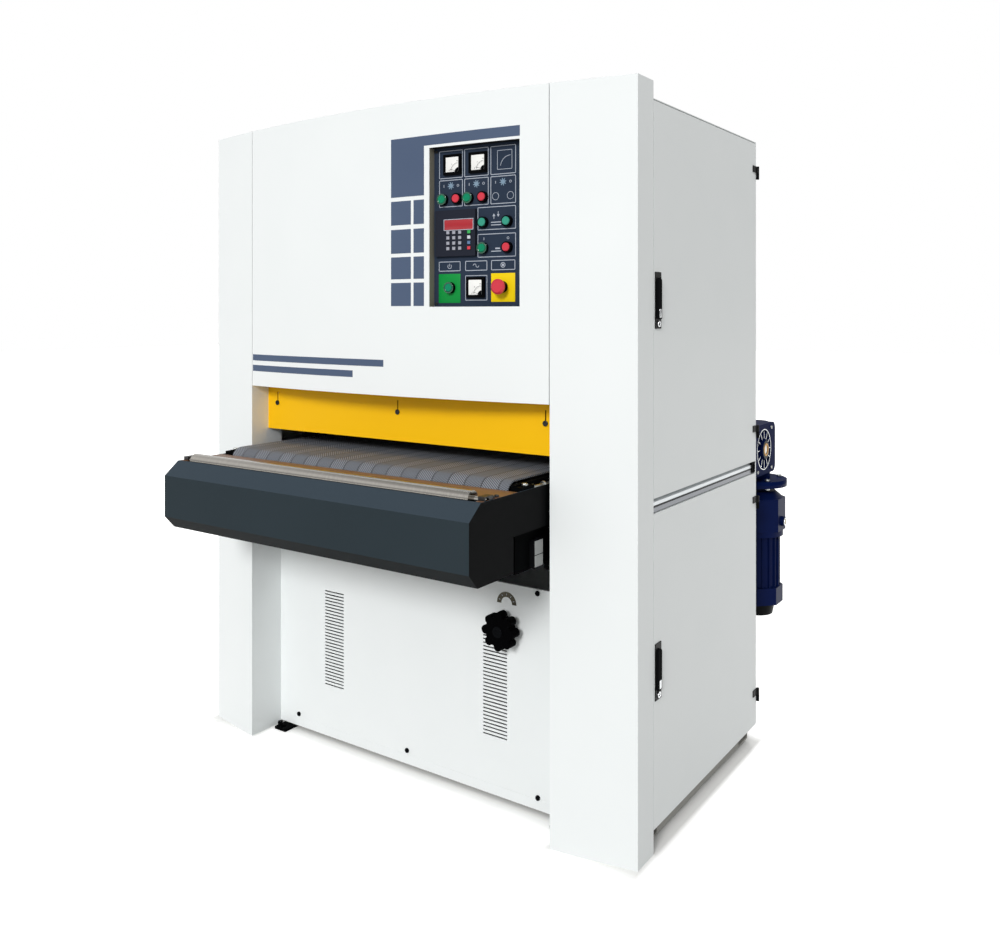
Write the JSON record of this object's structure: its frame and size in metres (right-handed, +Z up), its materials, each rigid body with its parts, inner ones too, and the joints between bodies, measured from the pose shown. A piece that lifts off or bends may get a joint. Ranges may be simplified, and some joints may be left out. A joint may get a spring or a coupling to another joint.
{
  "type": "wide belt sander",
  "caption": "Wide belt sander with a bowed white front, yellow infeed guard, lifting conveyor table, abrasive belt heads behind side doors and a recessed control panel.",
  "frame": {"origin": "centre of the four floor anchor holes, on the floor", "axes": "+Z up, +Y the way the work is fed, +X towards the doors"},
  "size_m": [1.542, 1.527, 1.9417],
  "materials": {
    "white_paint": "satin powder coat",
    "side_paint": "satin powder coat",
    "guard_yellow": "satin powder coat",
    "frame_grey": "satin",
    "head_blue": "satin",
    "black_metal": "satin",
    "alu_rail": "brushed",
    "panel_navy": "matt film",
    "black_plastic": "matt",
    "abrasive_cloth": "gritted cloth",
    "motor_paint": "satin",
    "gear_paint": "painted, satin",
    "drive_rubber": "matt",
    "green_plastic": "gloss",
    "red_plastic": "gloss",
    "slate_paint": "satin",
    "tan_plate": "satin",
    "grey_plastic": "matt",
    "steel": "ground",
    "cast_iron": "turned"
  },
  "bodies": {
    "machine": {"base_frame": "frame_grey", "floor_pads": "black_metal", "left_column": "white_paint", "right_column": "white_paint", "front_cover": "white_paint", "roof": "side_paint", "left_panel": "side_paint", "rear_panel": "side_paint", "lower_panel": "white_paint", "guard_plate": "guard_yellow", "side_rail": "alu_rail", "control_panel": "panel_navy", "panel_fittings": "black_plastic", "door_hinges": "black_metal", "head_frame": "head_blue", "front_abrasive": "abrasive_cloth", "rear_abrasive": "abrasive_cloth", "main_motors": "motor_paint", "drive_belts": "drive_rubber", "electrical_panel": "frame_grey", "lift_drive": "black_metal"},
    "table": {"table_bed": "slate_paint", "infeed_box": "slate_paint", "infeed_plate": "tan_plate", "conveyor_belt": "drive_rubber", "feed_gearbox": "gear_paint", "feed_motor": "motor_paint", "table_switch": "grey_plastic"},
    "front_sander_start": {"front_sander_start": "green_plastic"},
    "front_sander_stop": {"front_sander_stop": "red_plastic"},
    "rear_sander_start": {"rear_sander_start": "green_plastic"},
    "rear_sander_stop": {"rear_sander_stop": "red_plastic"},
    "table_up": {"table_up": "green_plastic"},
    "table_down": {"table_down": "green_plastic"},
    "feed_start": {"feed_start": "green_plastic"},
    "feed_stop": {"feed_stop": "red_plastic"},
    "power_on": {"power_on": "green_plastic"},
    "emergency_stop": {"emergency_stop": "red_plastic"},
    "hand_knob": {"hand_knob": "black_plastic"},
    "infeed_roller": {"infeed_roller": "steel"},
    "idler_roller": {"idler_roller": "steel"},
    "drive_roller": {"drive_roller": "steel"},
    "left_front_screw": {"left_front_screw": "steel"},
    "right_front_screw": {"right_front_screw": "steel"},
    "left_rear_screw": {"left_rear_screw": "steel"},
    "right_rear_screw": {"right_rear_screw": "steel"},
    "upper_door": {"upper_door": "side_paint"},
    "lower_door": {"lower_door": "side_paint"},
    "upper_lever": {"upper_lever": "black_metal"},
    "lower_lever": {"lower_lever": "black_metal"},
    "front_drum": {"front_drum": "steel"},
    "rear_drum": {"rear_drum": "steel"},
    "front_yoke": {"front_yoke": "head_blue"},
    "rear_yoke": {"rear_yoke": "head_blue"},
    "front_tension_roller": {"front_tension_roller": "steel"},
    "rear_tension_roller": {"rear_tension_roller": "steel"},
    "front_motor_pulley": {"front_motor_pulley": "cast_iron"},
    "rear_motor_pulley": {"rear_motor_pulley": "cast_iron"},
    "infeed_pressure_roller": {"infeed_pressure_roller": "drive_rubber"},
    "outfeed_pressure_roller": {"outfeed_pressure_roller": "drive_rubber"}
  },
  "joints": [
    {"name": "table_lift", "type": "slide", "parent": "machine", "child": "table", "axis": [0, 0, 1], "range_m": [-0.072, 0.037]},
    {"name": "front_sander_start_press", "type": "slide", "parent": "machine", "child": "front_sander_start", "axis": [-0.0847, 0.9964, 0], "range_m": [0, 0.004], "stiffness_N_per_m": 500},
    {"name": "front_sander_stop_press", "type": "slide", "parent": "machine", "child": "front_sander_stop", "axis": [-0.0847, 0.9964, 0], "range_m": [0, 0.004], "stiffness_N_per_m": 500},
    {"name": "rear_sander_start_press", "type": "slide", "parent": "machine", "child": "rear_sander_start", "axis": [-0.0847, 0.9964, 0], "range_m": [0, 0.004], "stiffness_N_per_m": 500},
    {"name": "rear_sander_stop_press", "type": "slide", "parent": "machine", "child": "rear_sander_stop", "axis": [-0.0847, 0.9964, 0], "range_m": [0, 0.004], "stiffness_N_per_m": 500},
    {"name": "table_up_press", "type": "slide", "parent": "machine", "child": "table_up", "axis": [-0.0847, 0.9964, 0], "range_m": [0, 0.004], "stiffness_N_per_m": 500},
    {"name": "table_down_press", "type": "slide", "parent": "machine", "child": "table_down", "axis": [-0.0847, 0.9964, 0], "range_m": [0, 0.004], "stiffness_N_per_m": 500},
    {"name": "feed_start_press", "type": "slide", "parent": "machine", "child": "feed_start", "axis": [-0.0847, 0.9964, 0], "range_m": [0, 0.004], "stiffness_N_per_m": 500},
    {"name": "feed_stop_press", "type": "slide", "parent": "machine", "child": "feed_stop", "axis": [-0.0847, 0.9964, 0], "range_m": [0, 0.004], "stiffness_N_per_m": 500},
    {"name": "power_on_press", "type": "slide", "parent": "machine", "child": "power_on", "axis": [-0.0847, 0.9964, 0], "range_m": [0, 0.004], "stiffness_N_per_m": 500},
    {"name": "emergency_stop_press", "type": "slide", "parent": "machine", "child": "emergency_stop", "axis": [-0.0847, 0.9964, 0], "range_m": [0, 0.004], "stiffness_N_per_m": 800},
    {"name": "knob_turn", "type": "hinge", "parent": "machine", "child": "hand_knob", "pos_m": [0.335, -0.4, 0.479], "axis": [0, 1, 0], "range_deg": [-5200, 2700]},
    {"name": "left_front_screw_turn", "type": "hinge", "parent": "machine", "child": "left_front_screw", "pos_m": [-0.4785, -0.326, 0.3], "axis": [0, 0, 1], "range_deg": [-5200, 2700]},
    {"name": "left_rear_screw_turn", "type": "hinge", "parent": "machine", "child": "left_rear_screw", "pos_m": [-0.4785, 0.324, 0.3], "axis": [0, 0, 1], "range_deg": [-5200, 2700]},
    {"name": "right_front_screw_turn", "type": "hinge", "parent": "machine", "child": "right_front_screw", "pos_m": [0.4615, -0.326, 0.3], "axis": [0, 0, 1], "range_deg": [-5200, 2700]},
    {"name": "right_rear_screw_turn", "type": "hinge", "parent": "machine", "child": "right_rear_screw", "pos_m": [0.4615, 0.324, 0.3], "axis": [0, 0, 1], "range_deg": [-5200, 2700]},
    {"name": "infeed_roller_spin", "type": "hinge", "parent": "table", "child": "infeed_roller", "pos_m": [-0.0085, -0.741, 0.903], "axis": [1, 0, 0], "continuous": true},
    {"name": "drive_roller_spin", "type": "hinge", "parent": "table", "child": "drive_roller", "pos_m": [-0.0085, 0.526, 0.8857], "axis": [1, 0, 0], "continuous": true},
    {"name": "idler_roller_spin", "type": "hinge", "parent": "table", "child": "idler_roller", "pos_m": [-0.0085, -0.571, 0.8857], "axis": [1, 0, 0], "continuous": true},
    {"name": "upper_door_swing", "type": "hinge", "parent": "machine", "child": "upper_door", "pos_m": [0.767, 0.37, 1.36], "axis": [0, 0, 1], "range_deg": [0, 120]},
    {"name": "lower_door_swing", "type": "hinge", "parent": "machine", "child": "lower_door", "pos_m": [0.767, 0.37, 0.45], "axis": [0, 0, 1], "range_deg": [0, 120]},
    {"name": "upper_lever_turn", "type": "hinge", "parent": "upper_door", "child": "upper_lever", "pos_m": [0.765, -0.343, 1.4065], "axis": [1, 0, 0], "range_deg": [0, 90]},
    {"name": "lower_lever_turn", "type": "hinge", "parent": "lower_door", "child": "lower_lever", "pos_m": [0.765, -0.343, 0.49], "axis": [1, 0, 0], "range_deg": [0, 90]},
    {"name": "front_drum_spin", "type": "hinge", "parent": "machine", "child": "front_drum", "pos_m": [-0.0085, -0.129, 1.0628], "axis": [1, 0, 0], "continuous": true},
    {"name": "front_tension_slide", "type": "slide", "parent": "machine", "child": "front_yoke", "axis": [0, 0, 1], "range_m": [-0.018, 0]},
    {"name": "front_tension_roller_spin", "type": "hinge", "parent": "front_yoke", "child": "front_tension_roller", "pos_m": [-0.0085, -0.129, 1.74891], "axis": [1, 0, 0], "continuous": true},
    {"name": "front_motor_spin", "type": "hinge", "parent": "machine", "child": "front_motor_pulley", "pos_m": [-0.55, -0.129, 0.26], "axis": [1, 0, 0], "continuous": true},
    {"name": "rear_drum_spin", "type": "hinge", "parent": "machine", "child": "rear_drum", "pos_m": [-0.0085, 0.151, 1.0628], "axis": [1, 0, 0], "continuous": true},
    {"name": "rear_tension_slide", "type": "slide", "parent": "machine", "child": "rear_yoke", "axis": [0, 0, 1], "range_m": [-0.018, 0]},
    {"name": "rear_tension_roller_spin", "type": "hinge", "parent": "rear_yoke", "child": "rear_tension_roller", "pos_m": [-0.0085, 0.151, 1.74891], "axis": [1, 0, 0], "continuous": true},
    {"name": "rear_motor_spin", "type": "hinge", "parent": "machine", "child": "rear_motor_pulley", "pos_m": [-0.55, 0.151, 0.26], "axis": [1, 0, 0], "continuous": true},
    {"name": "infeed_pressure_roller_spin", "type": "hinge", "parent": "machine", "child": "infeed_pressure_roller", "pos_m": [-0.0085, -0.336, 0.992], "axis": [1, 0, 0], "continuous": true},
    {"name": "outfeed_pressure_roller_spin", "type": "hinge", "parent": "machine", "child": "outfeed_pressure_roller", "pos_m": [-0.0085, 0.334, 0.992], "axis": [1, 0, 0], "continuous": true}
  ],
  "couplings": [
    {"joint": "knob_turn", "follows": "table_lift", "rad_per_m": 1256.6},
    {"joint": "left_front_screw_turn", "follows": "table_lift", "rad_per_m": 1256.6},
    {"joint": "left_rear_screw_turn", "follows": "table_lift", "rad_per_m": 1256.6},
    {"joint": "right_front_screw_turn", "follows": "table_lift", "rad_per_m": 1256.6},
    {"joint": "right_rear_screw_turn", "follows": "table_lift", "rad_per_m": 1256.6},
    {"joint": "idler_roller_spin", "follows": "drive_roller_spin", "ratio": 1},
    {"joint": "front_tension_roller_spin", "follows": "front_drum_spin", "ratio": 1.4},
    {"joint": "front_motor_spin", "follows": "front_drum_spin", "ratio": 0.78947},
    {"joint": "rear_tension_roller_spin", "follows": "rear_drum_spin", "ratio": 1.4},
    {"joint": "rear_motor_spin", "follows": "rear_drum_spin", "ratio": 0.78947}
  ]
}
